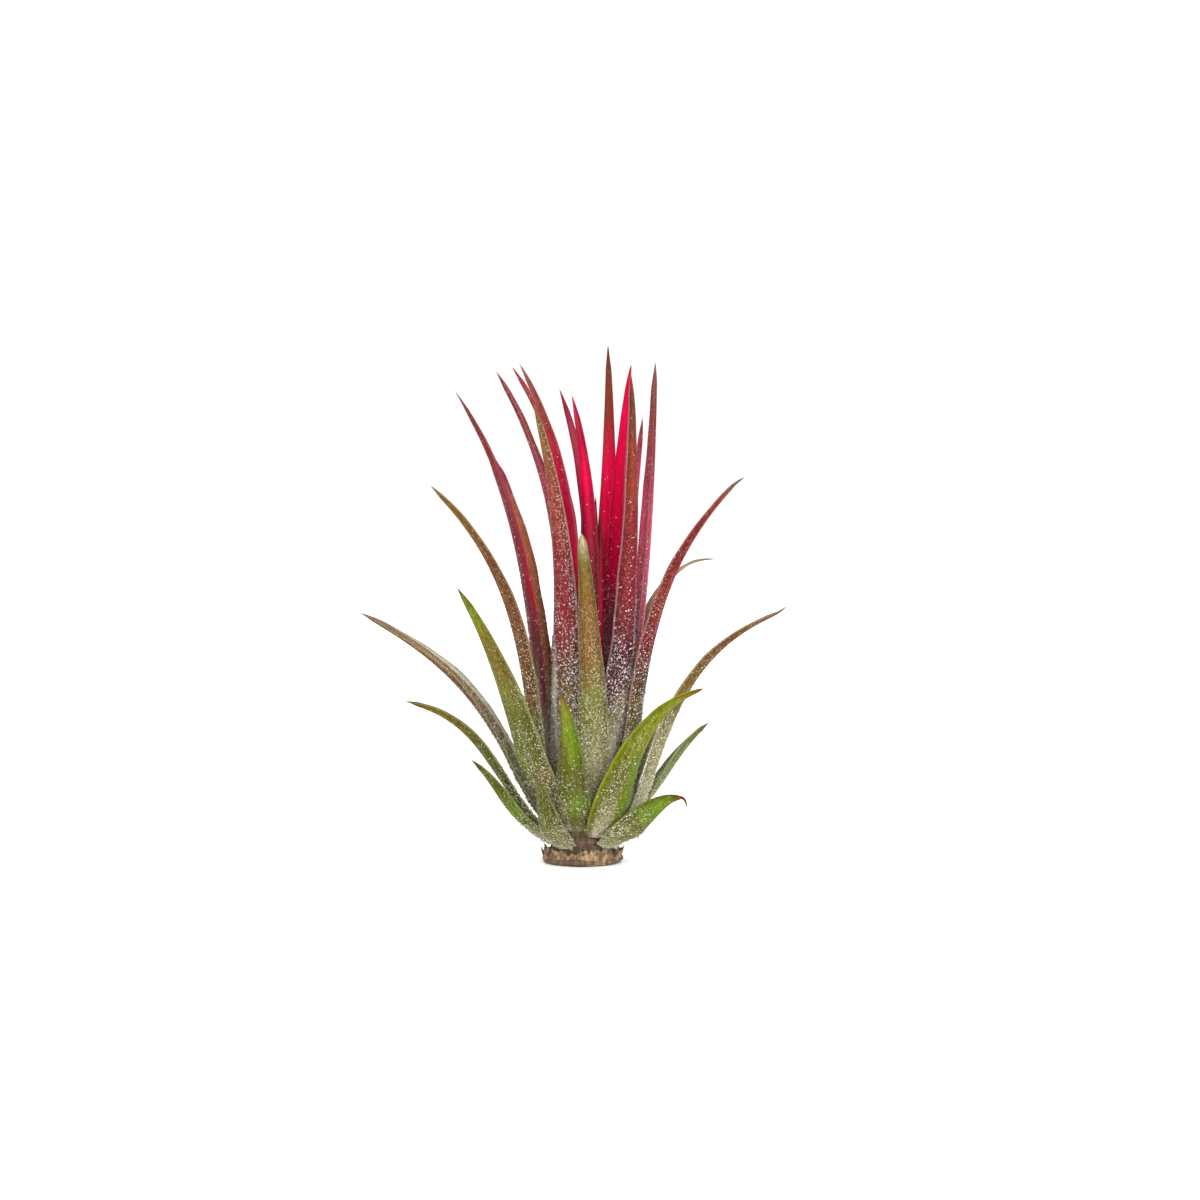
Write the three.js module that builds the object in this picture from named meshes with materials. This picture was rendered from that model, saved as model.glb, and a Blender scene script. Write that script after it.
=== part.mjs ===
// A small red-blushed ionantha air plant: a short tapering stem with a flat foot, and a rosette of
// separate, narrow, channelled leaves that grow from it in layers. The youngest stand upright in the
// middle, the oldest arch out low down. Millimetres, +Z up, the front of the plant faces -Y.
import * as THREE from "three";

const DEGREE = Math.PI / 180;

// The stem: a woody cone on a flat foot that the plant stands on.
const FOOT_RADIUS = 4.3;
const STEM_RADIUS = 3.5;
const STEM_TAPER = 0.225;
const STEM_HEIGHT = 12.8;
const STEM_SIDES = 24;
const STEM_EDGE = 0.4;
const FOOT_EDGE_HEIGHT = 0.5;
const FOOT_FLARE_HEIGHT = 1.6;

// The heart of the plant stands a little to the right of its foot: by nothing at the first of these
// heights, and by the whole shift from the second up.
const HEART_SHIFT = 1.0;
const SHIFT_HEIGHTS = [3, 24];

// Where each layer of leaves starts on the stem, from layer 0 in the heart to layer 7 at the foot, and
// the point of the bulb that the layer bends round: how far out, and how high.
const HEART_ROOT = 12.2;
const LAYER_DROP = 1.45;
const SEAT_GAP = 0.3;
const BULB = [
  [1.5, 19],
  [2.6, 18],
  [3.8, 16.5],
  [5.0, 15],
  [6.4, 12.5],
  [7.8, 10],
  [9.0, 7.6],
  [9.0, 5.4],
];

// The blade: thin and narrow at its root, fleshy in the middle, pointed at the tip. The shares are of its
// length: where it is as wide as it gets, and where it starts to thicken and is as thick as it gets. A
// tip that has dried and rolled up keeps a part of its width, which it loses over a share of its length.
const ROOT_THICKNESS = 0.62;
const BLADE_THICKNESS = 1.0;
const TIP_THICKNESS = 0.5;
const THICKNESS_TAPER = 0.55;
const FLESHY_SHARES = [0.08, 0.45];
const TIP_WIDTH = 0.5;
const WIDTH_TAPER = 0.9;
const WIDEST_SHARE = 0.26;
const ROLLED_WIDTH = 0.5;
const ROLLING_SHARE = 0.05;
const ROOT_WIDTH_SHARE = 0.36;
const ROOT_WIDTH_GAIN = 0.042;

// The channel along the blade's inner face, as deep as a share of half the width. Low down, where the
// blade clasps the plant, it is only as deep as the plant is round.
const CHANNEL_SHARE = 0.5;
const CHANNEL_CENTRE = 0.3;
const CLASPING_SHARES = [0.2, 0.6];

// The faceting: the places across the blade that have points, the distance between rings of points, and
// how much of the last one is left for the tip.
const SECTION = [-1, -0.6, 0, 0.6, 1];
const RING_SPACING = 2.1;
const LEAST_RINGS = 8;
const HOOK_RINGS = 2;
const LAST_RING_SHARE = 0.35;

// The share of a leaf that its last stretch takes where its row gives no hold, and the share of a hook
// that still points the leaf's way.
const HOLD = 0.45;
const HOOK_START = 0.4;

// The colours of the leaves, from the lit heart to the shaded foot.
const TONES = {
  crimson: 0xc40b3c,
  rose: 0xb2505c,
  russet: 0xa24a48,
  wine: 0x8f3a45,
  bronze: 0x8a5c40,
  olive: 0x77693a,
  green: 0x6c7a36,
  lime: 0x8a9b45,
};

// One row for each leaf, measured on the plant in the photograph or, for the far side, matched to it.
// az is the direction that it leans, in degrees from the front towards the right. layer is its place
// from heart to foot. out and up are where the tip is, from the plant's line and from the foot, and
// lean is the angle of the last stretch from upright, kept over a share hold of the leaf. aside moves
// the leaf sideways at the bulb, in the middle and at the tip. roll turns the blade about its own line
// by the tip. rolled is the share of the leaf from which its tip has rolled up. hook is a dry, thin end:
// its length, and its own lean from upright.
const LEAVES = [
  // the heart
  { name: "heart_right", tone: "crimson", az: 40, layer: 0.2, out: 1.4, up: 37.2, lean: 0, width: 2.4 },
  { name: "heart_left", tone: "crimson", az: -106, layer: 0, out: 1.7, up: 34.5, lean: 4, width: 2.3 },
  { name: "heart_rear", tone: "crimson", az: 160, layer: 0.2, out: 1.3, up: 38.9, lean: 2, width: 2.3 },
  // the upright red leaves
  {
    name: "upright_centre", tone: "crimson", az: -30, layer: 1.2, out: 3.8, up: 49.6, lean: 18,
    width: 4.4, aside: [0.3, 1.15, -0.2],
  },
  {
    name: "upright_centre_rear", tone: "rose", az: -174, layer: 1.7, out: 4.9, up: 50.3,
    lean: 12, width: 3.4, aside: [-1.0, -1.9, 2.95],
  },
  {
    name: "upright_rear_crimson", tone: "crimson", az: 106, layer: 1.8, out: 4.4, up: 52.9,
    lean: 8, width: 4.9, roll: 34,
  },
  {
    name: "upright_left_crimson", tone: "crimson", az: -114, layer: 1.8, out: 9.3, up: 52.6,
    lean: 36, width: 3.9, hold: 0.5, aside: [-0.9, -1.9, 0],
  },
  {
    name: "upright_left_tall", tone: "russet", az: -57, layer: 2.5, out: 8.9, up: 52.8,
    lean: 32, width: 4.2, hold: 0.5, aside: [0.8, 1.2, 0],
  },
  {
    name: "upright_left_outer", tone: "wine", az: -94, layer: 3.3, out: 10.1, up: 52.1,
    lean: 32, width: 4.6, hold: 0.6, roll: -14, aside: [0.3, 0.8, 0],
  },
  {
    name: "upright_front_left", tone: "russet", az: -34, layer: 3.3, out: 10.6, up: 48.5,
    lean: 28, width: 5.2, hold: 0.5,
  },
  {
    name: "upright_front_right", tone: "russet", az: 36, layer: 3.4, out: 7.2, up: 52.1,
    lean: 2, width: 4.4, aside: [0.2, 1.5, -0.2],
  },
  {
    name: "upright_right", tone: "rose", az: 97, layer: 3.1, out: 6.8, up: 53.1, lean: 2, width: 4.8,
    roll: 20,
  },
  {
    name: "upright_right_short", tone: "rose", az: 66, layer: 2.3, out: 5.9, up: 47.2, lean: 8,
    width: 3.6,
  },
  {
    name: "upright_rear_tall", tone: "wine", az: 162, layer: 2.8, out: 5.7, up: 55, lean: -3,
    width: 4.3, aside: [0, -0.4, 0],
  },
  { name: "upright_rear", tone: "wine", az: -156, layer: 3.6, out: 9.6, up: 45, lean: 20, width: 4.8 },
  // the leaning leaves round them
  {
    name: "leaning_left_red", tone: "wine", az: -113, layer: 4.1, out: 16.0, up: 50.1, lean: 37,
    width: 6.6, hold: 0.52, aside: [-0.5, 0, 0], rolled: 0.82,
  },
  {
    name: "leaning_left_bronze", tone: "bronze", az: -70, layer: 4.8, out: 17.8, up: 40.2,
    lean: 49, width: 5.2, hold: 0.6,
  },
  {
    name: "leaning_front", tone: "bronze", az: 0, layer: 4.4, out: 8.6, up: 35.3, lean: 14,
    width: 4.4, aside: [1.7, -0.2, -1.0],
  },
  {
    name: "leaning_right_red", tone: "russet", az: 70, layer: 4.8, out: 15.6, up: 40.1,
    lean: 46, width: 5.5, hold: 0.6, hook: [1.7, 62],
  },
  {
    name: "leaning_right_dry", tone: "bronze", az: 122, layer: 4.7, out: 12.0, up: 31.3,
    lean: 64, width: 4.4, hold: 0.5, hook: [4.0, 94],
  },
  {
    name: "leaning_rear", tone: "russet", az: -178, layer: 4.5, out: 13.5, up: 38.5, lean: 30,
    width: 5.0,
  },
  {
    name: "leaning_rear_left", tone: "bronze", az: -132, layer: 4.8, out: 9.4, up: 29,
    lean: 24, width: 4.8,
  },
  {
    name: "leaning_rear_right", tone: "olive", az: 152, layer: 5.1, out: 9.4, up: 26, lean: 30,
    width: 4.6,
  },
  // the arching green leaves
  {
    name: "arching_left", tone: "olive", az: -97, layer: 5.65, out: 25, up: 26.4, lean: 65,
    width: 5.0, hold: 0.79, roll: -20,
  },
  {
    name: "arching_left_broad", tone: "olive", az: -48, layer: 5.3, out: 18.5, up: 30.0,
    lean: 37, width: 6.6, hold: 0.48, aside: [0.2, 0.9, 0],
  },
  {
    name: "arching_right", tone: "olive", az: 74, layer: 6.5, out: 19.9, up: 26.8, lean: 68,
    width: 5.1, hold: 0.66, hook: [1.6, 50],
  },
  {
    name: "arching_front_right", tone: "lime", az: 34, layer: 6.2, out: 14.8, up: 19.2,
    lean: 66, width: 6.2, aside: [-1.6, -0.9, 3.5], hook: [0.9, 80],
  },
  {
    name: "arching_rear", tone: "olive", az: -166, layer: 5.5, out: 18.5, up: 23, lean: 58,
    width: 5.2, hold: 0.55,
  },
  {
    name: "arching_rear_left", tone: "olive", az: -134, layer: 6.0, out: 12, up: 19, lean: 44,
    width: 4.8,
  },
  {
    name: "arching_rear_right", tone: "green", az: 135, layer: 5.7, out: 12, up: 16, lean: 48,
    width: 4.8,
  },
  // the short old leaves at the foot
  {
    name: "low_left", tone: "olive", az: -82, layer: 6.3, out: 19.6, up: 17.4, lean: 80,
    width: 5.3, hold: 0.66,
  },
  {
    name: "low_left_short", tone: "green", az: -68, layer: 6.8, out: 12.9, up: 11.4, lean: 57,
    width: 4.6, hold: 0.6,
  },
  {
    name: "low_front", tone: "green", az: -14, layer: 5.8, out: 9.6, up: 19.1, lean: 14,
    width: 5.2, aside: [0.5, 0.8, -0.9],
  },
  { name: "low_front_hidden", tone: "green", az: -30, layer: 7, out: 10, up: 10.2, lean: 50, width: 4.4 },
  {
    name: "low_right", tone: "lime", az: 116, layer: 6.2, out: 14.7, up: 14.3, lean: 64,
    width: 4.7, hold: 0.6, roll: -26, aside: [-0.8, -0.8, 0],
  },
  {
    name: "low_right_hooked", tone: "green", az: 48, layer: 7.0, out: 10.8, up: 7.4, lean: 90,
    width: 5.4, roll: -75, aside: [0.1, 1.0, 3.4], hook: [1.8, 176],
  },
  { name: "low_rear", tone: "green", az: 170, layer: 6.6, out: 14.5, up: 10, lean: 70, width: 4.8 },
  { name: "low_rear_left", tone: "green", az: -156, layer: 7.0, out: 11.6, up: 9, lean: 58, width: 4.4 },
  { name: "low_rear_right", tone: "green", az: 144, layer: 7, out: 10.6, up: 7.5, lean: 66, width: 4.6 },
];

function stemRadiusAt(height) {
  return STEM_RADIUS - STEM_TAPER * height;
}

// A closed mesh from rings of points, all with as many points, with a point at each end.
function loft(rings, first, last) {
  const sides = rings[0].length;
  const positions = [...first.toArray(), ...rings.flat().flatMap((p) => p.toArray()), ...last.toArray()];
  const at = (ring, side) => 1 + ring * sides + (side % sides);
  const end = 1 + rings.length * sides;
  const faces = [];
  for (let side = 0; side < sides; side++) {
    faces.push(0, at(0, side + 1), at(0, side));
    faces.push(end, at(rings.length - 1, side), at(rings.length - 1, side + 1));
    for (let ring = 0; ring + 1 < rings.length; ring++) {
      faces.push(at(ring, side), at(ring, side + 1), at(ring + 1, side));
      faces.push(at(ring, side + 1), at(ring + 1, side + 1), at(ring + 1, side));
    }
  }
  const geometry = new THREE.BufferGeometry();
  geometry.setAttribute("position", new THREE.Float32BufferAttribute(positions, 3));
  geometry.setIndex(faces);
  geometry.computeVertexNormals();
  return geometry;
}

// The point of the bulb for a layer, between the two points that are nearest where it isn't whole.
function bulbPoint(layer) {
  const below = Math.min(Math.floor(layer), BULB.length - 2);
  const part = layer - below;
  return [0, 1].map((k) => BULB[below][k] * (1 - part) + BULB[below + 1][k] * part);
}

function sidewaysOf(leaf) {
  return new THREE.Vector3(Math.cos(leaf.az * DEGREE), Math.sin(leaf.az * DEGREE), 0);
}

// The line along the middle of a leaf: out from the stem, up round the bulb, and off to the tip.
function leafLine(leaf) {
  const radial = new THREE.Vector3(Math.sin(leaf.az * DEGREE), -Math.cos(leaf.az * DEGREE), 0);
  const sideways = sidewaysOf(leaf);
  const place = (out, up, aside) =>
    new THREE.Vector3(HEART_SHIFT * THREE.MathUtils.smoothstep(up, ...SHIFT_HEIGHTS), 0, up)
      .addScaledVector(radial, out)
      .addScaledVector(sideways, aside);
  const [bulbAside, midAside, tipAside] = leaf.aside ?? [0, 0, 0];
  const rootUp = HEART_ROOT - LAYER_DROP * leaf.layer;
  const rootOut = stemRadiusAt(rootUp) + SEAT_GAP + ROOT_THICKNESS / 2;
  const root = new THREE.Vector3(0, 0, rootUp).addScaledVector(radial, rootOut);
  const [bulbOut, bulbUp] = bulbPoint(leaf.layer);
  const hold = (leaf.hold ?? HOLD) * Math.hypot(leaf.out - bulbOut, leaf.up - bulbUp);
  const midOut = leaf.out - hold * Math.sin(leaf.lean * DEGREE);
  const midUp = leaf.up - hold * Math.cos(leaf.lean * DEGREE);
  const bulb = place(bulbOut, bulbUp, bulbAside);
  const tip = place(leaf.out, leaf.up, tipAside);
  const line = new THREE.CurvePath();
  line.add(new THREE.CubicBezierCurve3(root, bulb, place(midOut, midUp, midAside), tip));
  if (leaf.hook) {
    const [length, lean] = leaf.hook;
    const along = (angle, share) =>
      radial
        .clone()
        .multiplyScalar(length * share * Math.sin(angle * DEGREE))
        .setZ(length * share * Math.cos(angle * DEGREE));
    const bent = tip.clone().add(along(leaf.lean, HOOK_START));
    line.add(new THREE.QuadraticBezierCurve3(tip, bent, bent.clone().add(along(lean, 1 - HOOK_START))));
  }
  return line;
}

// Width and thickness of the blade at a share of its length, before any dry hook.
function bladeWidth(leaf, share) {
  const widened = THREE.MathUtils.smoothstep(share, 0, WIDEST_SHARE);
  const taper = Math.pow(1 - share, WIDTH_TAPER);
  const rootShare = ROOT_WIDTH_SHARE + ROOT_WIDTH_GAIN * leaf.layer;
  const full = leaf.width * (rootShare + (1 - rootShare) * widened);
  const width = TIP_WIDTH + (full - TIP_WIDTH) * taper;
  if (!leaf.rolled) {
    return width;
  }
  const rolling = THREE.MathUtils.smoothstep(share, leaf.rolled - ROLLING_SHARE, leaf.rolled);
  return width * (1 - rolling * (1 - ROLLED_WIDTH));
}

function bladeThickness(leaf, share) {
  const fleshy = THREE.MathUtils.smoothstep(share, ...FLESHY_SHARES);
  const thick = ROOT_THICKNESS + (BLADE_THICKNESS - ROOT_THICKNESS) * fleshy;
  return TIP_THICKNESS + (thick - TIP_THICKNESS) * Math.pow(1 - share, THICKNESS_TAPER);
}

function leafSolid(leaf) {
  const line = leafLine(leaf);
  const sideways = sidewaysOf(leaf);
  const length = line.getLength();
  const hookShare = leaf.hook ? line.curves[1].getLength() / length : 0;
  const count = Math.max(LEAST_RINGS, Math.round(length / RING_SPACING)) + (leaf.hook ? HOOK_RINGS : 0);
  const rings = [];
  for (let ring = 0; ring < count; ring++) {
    const share = (ring / count) * (1 - LAST_RING_SHARE / count);
    const centre = line.getPoint(share);
    const ahead = line.getTangent(Math.max(share, 1e-4)).normalize();
    const across = sideways.clone().addScaledVector(ahead, -sideways.dot(ahead)).normalize();
    across.applyAxisAngle(ahead, (leaf.roll ?? 0) * DEGREE * share);
    const outward = across.clone().cross(ahead);
    const blade = Math.min(1, share / (1 - hookShare));
    const half = bladeWidth(leaf, blade) / 2;
    const thick = Math.min(bladeThickness(leaf, blade), 2 * half);
    const fromAxis = Math.hypot(centre.x, centre.y);
    const clasping = (half * half) / (2 * fromAxis);
    const free = THREE.MathUtils.smoothstep(share, ...CLASPING_SHARES);
    const deepest = CHANNEL_SHARE * half;
    const channel = THREE.MathUtils.lerp(Math.min(clasping, deepest), deepest, free);
    const at = (x, side) =>
      centre
        .clone()
        .addScaledVector(across, x * half)
        .addScaledVector(outward, (side * thick * (1 - x * x)) / 2 - channel * (x * x - CHANNEL_CENTRE));
    const back = SECTION.map((x) => at(x, 1));
    const face = SECTION.slice(1, -1).reverse().map((x) => at(x, -1));
    rings.push([...back, ...face]);
  }
  return loft(rings, line.getPoint(0), line.getPoint(1));
}

function stemSolid() {
  const profile = [
    [0, 0],
    [FOOT_RADIUS - STEM_EDGE, 0],
    [FOOT_RADIUS, FOOT_EDGE_HEIGHT],
    [stemRadiusAt(FOOT_FLARE_HEIGHT), FOOT_FLARE_HEIGHT],
    [stemRadiusAt(STEM_HEIGHT - STEM_EDGE), STEM_HEIGHT - STEM_EDGE],
    [0, STEM_HEIGHT],
  ].map(([radius, height]) => new THREE.Vector2(radius, height));
  return new THREE.LatheGeometry(profile, STEM_SIDES).rotateX(Math.PI / 2);
}

const plant = new THREE.Group();
const bark = new THREE.MeshStandardMaterial({ color: 0x6b5a3c, roughness: 0.9, metalness: 0 });
const stem = new THREE.Mesh(stemSolid(), bark);
stem.name = "stem";
plant.add(stem);
for (const leaf of LEAVES) {
  const skin = new THREE.MeshStandardMaterial({ color: TONES[leaf.tone], roughness: 0.6, metalness: 0 });
  const blade = new THREE.Mesh(leafSolid(leaf), skin);
  blade.name = "leaf_" + leaf.name;
  plant.add(blade);
}

export default plant;
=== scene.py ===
import math

import bmesh
import bpy
import numpy as np
from mathutils import Matrix, Vector, geometry


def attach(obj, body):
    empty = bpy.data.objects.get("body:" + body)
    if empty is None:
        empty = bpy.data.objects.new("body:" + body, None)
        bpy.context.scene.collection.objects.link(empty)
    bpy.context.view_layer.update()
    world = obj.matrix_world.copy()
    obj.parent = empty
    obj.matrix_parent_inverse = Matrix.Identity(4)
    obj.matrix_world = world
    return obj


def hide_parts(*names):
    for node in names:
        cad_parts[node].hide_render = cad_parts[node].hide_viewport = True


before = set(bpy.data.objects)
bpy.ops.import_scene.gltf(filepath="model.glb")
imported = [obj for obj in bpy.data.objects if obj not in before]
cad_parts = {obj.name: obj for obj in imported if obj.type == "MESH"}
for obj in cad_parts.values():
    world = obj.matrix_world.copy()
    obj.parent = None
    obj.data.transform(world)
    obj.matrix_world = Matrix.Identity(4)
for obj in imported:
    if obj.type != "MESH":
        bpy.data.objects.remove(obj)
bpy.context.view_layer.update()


# The stem is the short, woody end of the shoot, hidden inside the rosette. It is dry and brown, ringed
# with the scars of shed leaves, and it ends in a flat stub that the plant stands on.
MM = 0.001
FOOT_RADIUS = 4.3
FOOT_HEIGHT = 1.7
FOOT_EDGE = 0.35
FOOT_EDGE_LOSS = 0.09
STEM_RADIUS = 3.5
STEM_TAPER = 0.225
STEM_HEIGHT = 12.8
STEM_SIDES = 56
STEM_CUTS = 44
STEM_CREASE = 50
SCAR_SPACING = 0.95
SCAR_DEPTH = 0.12
SCAR_TILT = 0.35
FLUTE_DEPTH = 0.07
LUMP_DEPTH = 0.1


def linear(hex_colour):
    channels = [int(hex_colour[i:i + 2], 16) / 255 for i in (1, 3, 5)]
    return [c / 12.92 if c <= 0.04045 else ((c + 0.055) / 1.055) ** 2.4 for c in channels] + [1.0]


def smooth(value, low, high):
    t = np.clip((value - low) / (high - low), 0, 1)
    return t * t * (3 - 2 * t)


def select_edges(test):
    """Selects, in edit mode, the edges whose two ends pass the test."""
    bpy.ops.mesh.select_mode(type="EDGE")
    bpy.ops.mesh.select_all(action="DESELECT")
    mesh = bmesh.from_edit_mesh(bpy.context.edit_object.data)
    for edge in mesh.edges:
        edge.select_set(bool(test(edge.verts[0].co, edge.verts[1].co)))
    bmesh.update_edit_mesh(bpy.context.edit_object.data)


def read_points(mesh):
    points = np.empty(len(mesh.vertices) * 3)
    mesh.vertices.foreach_get("co", points)
    return points.reshape(-1, 3)


def write_points(mesh, points):
    mesh.vertices.foreach_set("co", np.ascontiguousarray(points).ravel())
    mesh.update()


class Nodes:
    """Adds nodes to a new material and joins them up."""

    def __init__(self, name):
        self.material = bpy.data.materials.new(name)
        self.material.use_nodes = True
        self.tree = self.material.node_tree
        self.shader = self.tree.nodes["Principled BSDF"]

    def feed(self, socket, value):
        if isinstance(value, bpy.types.NodeSocket):
            self.tree.links.new(value, socket)
        elif value is not None:
            socket.default_value = value

    def add(self, kind, inputs=(), **settings):
        node = self.tree.nodes.new(kind)
        for name, value in settings.items():
            setattr(node, name, value)
        for key, value in dict(inputs).items():
            self.feed(node.inputs[key], value)
        return node

    def attribute(self, name, output="Fac"):
        return self.add("ShaderNodeAttribute", attribute_name=name).outputs[output]

    def math(self, operation, first, second=None, clamp=False):
        node = self.add("ShaderNodeMath", {0: first, 1: second}, operation=operation, use_clamp=clamp)
        return node.outputs[0]

    def step(self, value, low, high):
        """0 below low and 1 above high, smoothly, or the other way round where high is below low."""
        inputs = {"Value": value, "From Min": low, "From Max": high}
        return self.add("ShaderNodeMapRange", inputs, interpolation_type="SMOOTHSTEP").outputs[0]

    def mix(self, factor, first, second, blend="MIX"):
        """A Mix node has its factor at socket 0, its colours at 6 and 7, and the mixed colour at 2."""
        node = self.add("ShaderNodeMix", data_type="RGBA", blend_type=blend)
        self.feed(node.inputs[0], factor)
        self.feed(node.inputs[6], first)
        self.feed(node.inputs[7], second)
        return node.outputs[2]

    def ramp(self, factor, stops):
        node = self.add("ShaderNodeValToRGB", {0: factor})
        elements = node.color_ramp.elements
        while len(elements) < len(stops):
            elements.new(0.5)
        for element, (place, colour) in zip(elements, stops):
            element.position = place
            element.color = colour
        return node.outputs[0]

    def stretch(self, vector, repeats):
        return self.add("ShaderNodeMapping", {"Vector": vector, "Scale": repeats}).outputs[0]

    def noise(self, vector, repeats, detail):
        inputs = {"Vector": self.stretch(vector, repeats), "Scale": 1.0, "Detail": detail}
        return self.add("ShaderNodeTexNoise", inputs).outputs["Fac"]

    def cells(self, vector, repeats):
        inputs = {"Vector": self.stretch(vector, repeats), "Scale": 1.0}
        return self.add("ShaderNodeTexVoronoi", inputs).outputs["Distance"]

    def bump(self, height, distance, strength=1.0, under=None):
        inputs = {"Height": height, "Distance": distance, "Strength": strength, "Normal": under}
        return self.add("ShaderNodeBump", inputs).outputs[0]


def stem_bark():
    nodes = Nodes("stem_bark")
    place = nodes.add("ShaderNodeTexCoord").outputs["Object"]
    rings = nodes.noise(place, (250, 250, 1400), 4)
    fibres = nodes.noise(place, (2200, 2200, 260), 3)
    tone = nodes.math("MULTIPLY", nodes.math("ADD", rings, fibres), 0.5)
    stops = [(0.34, linear("#241a14")), (0.5, linear("#4c3a2a")), (0.66, linear("#7d674a"))]
    nodes.feed(nodes.shader.inputs["Base Color"], nodes.ramp(tone, stops))
    nodes.feed(nodes.shader.inputs["Normal"], nodes.bump(tone, 0.25 * MM))
    nodes.shader.inputs["Roughness"].default_value = 0.85
    return nodes.material


bpy.ops.object.select_all(action="DESELECT")
bpy.ops.mesh.primitive_cylinder_add(
    vertices=STEM_SIDES,
    radius=1,
    depth=STEM_HEIGHT,
    end_fill_type="NGON",
    location=(0, 0, STEM_HEIGHT / 2),
)
stem = bpy.context.object
stem.name = "woody_stem"
bpy.ops.object.transform_apply(location=True, rotation=True, scale=True)
bpy.ops.object.mode_set(mode="EDIT")
select_edges(lambda a, b: abs(a.z - b.z) > STEM_HEIGHT / 2)
bpy.ops.mesh.subdivide(number_cuts=STEM_CUTS)
bpy.ops.object.mode_set(mode="OBJECT")
points = read_points(stem.data)
turn = np.arctan2(points[:, 1], points[:, 0])
height = points[:, 2]
radius = STEM_RADIUS - STEM_TAPER * height
foot = FOOT_RADIUS - (FOOT_RADIUS - radius) * smooth(height, FOOT_EDGE, FOOT_HEIGHT)
radius = np.where(height < FOOT_HEIGHT, foot, radius)
radius *= 1 - FOOT_EDGE_LOSS * smooth(height, FOOT_EDGE, 0)
scar = np.abs((height / SCAR_SPACING + SCAR_TILT * np.sin(turn * 2 + 1)) % 1 - 0.5) * 2
radius -= SCAR_DEPTH * scar ** 3 * smooth(height, 0.2, 1.2)
radius += FLUTE_DEPTH * np.sin(turn * 9 + height * 1.7) * smooth(height, 0.2, 1.5)
lumps = LUMP_DEPTH * np.sin(turn * 3 + 0.7) + FLUTE_DEPTH * np.sin(turn * 7 + height)
radius += lumps * smooth(height, 2.2, 1.0)
points[:, 0] = radius * np.cos(turn)
points[:, 1] = radius * np.sin(turn)
write_points(stem.data, points * MM)
bpy.ops.object.shade_smooth_by_angle(angle=math.radians(STEM_CREASE))
stem.data.materials.append(stem_bark())


# Torn sheaths of shed leaves still clasp the stub in two tiers. They are thin, dry and brown, with
# ragged upper edges, and they have grown together with the stem, so they are joined to it.
SHEATH_WIDTH = 2.8
SHEATH_SKIN = 0.08
SHEATH_COLUMNS = 14
SHEATH_ROWS = 9
SHEATH_TEAR = 0.3
SHEATH_SIDE_LOSS = 0.25
SHEATH_FLARE = 0.12
SHEATH_RIPPLE = 0.07
SHEATH_TIERS = ((10, 4.12, 0.1, 2.0), (8, 3.86, 0.75, 1.6))


def dry_paper():
    nodes = Nodes("dry_sheath")
    place = nodes.add("ShaderNodeTexCoord").outputs["Object"]
    fibres = nodes.noise(place, (3600, 3600, 420), 3)
    stains = nodes.noise(place, (600, 600, 600), 3)
    tone = nodes.math("ADD", nodes.math("MULTIPLY", fibres, 0.6), nodes.math("MULTIPLY", stains, 0.4))
    stops = [(0.32, linear("#33241a")), (0.5, linear("#6a5038")), (0.64, linear("#a08860"))]
    nodes.feed(nodes.shader.inputs["Base Color"], nodes.ramp(tone, stops))
    nodes.feed(nodes.shader.inputs["Normal"], nodes.bump(fibres, 0.06 * MM))
    nodes.shader.inputs["Roughness"].default_value = 0.8
    return nodes.material


def torn_sheath(turn, foot_radius, foot_height, length):
    bpy.ops.object.select_all(action="DESELECT")
    bpy.ops.mesh.primitive_grid_add(x_subdivisions=SHEATH_COLUMNS, y_subdivisions=SHEATH_ROWS, size=1)
    sheath = bpy.context.object
    points = read_points(sheath.data)
    across, up = 2 * points[:, 0], points[:, 1] + 0.5
    phase = sheath_draw.uniform(0, 2 * math.pi)
    torn = np.abs(np.sin(3.1 * across + phase)) + 0.6 * np.abs(np.sin(7.3 * across - phase))
    up = up * length * (1 - SHEATH_TEAR * torn - SHEATH_SIDE_LOSS * across ** 2)
    radius = foot_radius + SHEATH_FLARE * up ** 2 + SHEATH_RIPPLE * np.sin(5 * across + phase) * up
    angle = turn + across * SHEATH_WIDTH / 2 / foot_radius
    places = np.column_stack([radius * np.cos(angle), radius * np.sin(angle), foot_height + up])
    write_points(sheath.data, places * MM)
    bpy.ops.object.modifier_add(type="SOLIDIFY")
    sheath.modifiers[-1].thickness = SHEATH_SKIN * MM
    bpy.ops.object.modifier_apply(modifier=sheath.modifiers[-1].name)
    bpy.ops.object.shade_smooth()
    sheath.data.materials.append(sheath_paper)
    return sheath


sheath_draw = np.random.default_rng(41)
sheath_paper = dry_paper()
sheaths = []
for count, foot_radius, foot_height, full_length in SHEATH_TIERS:
    for k in range(count):
        turn = 2 * math.pi * (k + sheath_draw.uniform(-0.25, 0.25)) / count + foot_radius
        length = full_length * sheath_draw.uniform(0.7, 1.0)
        sheaths.append(torn_sheath(turn, foot_radius, foot_height, length))
bpy.ops.object.select_all(action="DESELECT")
for sheath in sheaths:
    sheath.select_set(True)
stem.select_set(True)
bpy.context.view_layer.objects.active = stem
bpy.ops.object.join()
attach(stem, "root")
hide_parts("stem")


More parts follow.
